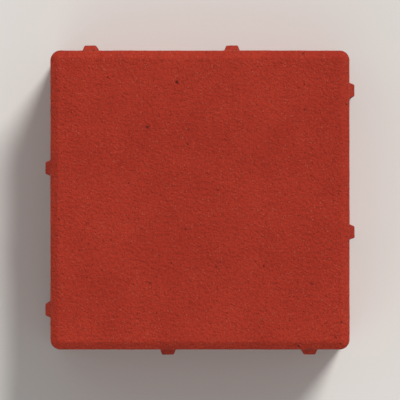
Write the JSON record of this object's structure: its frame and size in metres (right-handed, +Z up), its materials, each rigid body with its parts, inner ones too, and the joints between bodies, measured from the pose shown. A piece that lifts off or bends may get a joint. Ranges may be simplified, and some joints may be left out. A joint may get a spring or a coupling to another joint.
{
  "type": "concrete paving stone",
  "caption": "Square pressed concrete paving stone with a bevelled wearing face and spacer nibs on its sides, laid with sand joints.",
  "frame": {"origin": "middle of the bed face, which the stone stands on", "axes": "+Z up from the bed face to the wearing face; +X and +Y square to the sides, each of which carries its far nib at the corner that comes next going round from +X to +Y"},
  "size_m": [0.2034, 0.2034, 0.08],
  "materials": {
    "red_concrete": "matt pressed concrete, pigmented iron-oxide red right through"
  },
  "bodies": {
    "root": {"paving_stone": "red_concrete"}
  },
  "joints": []
}
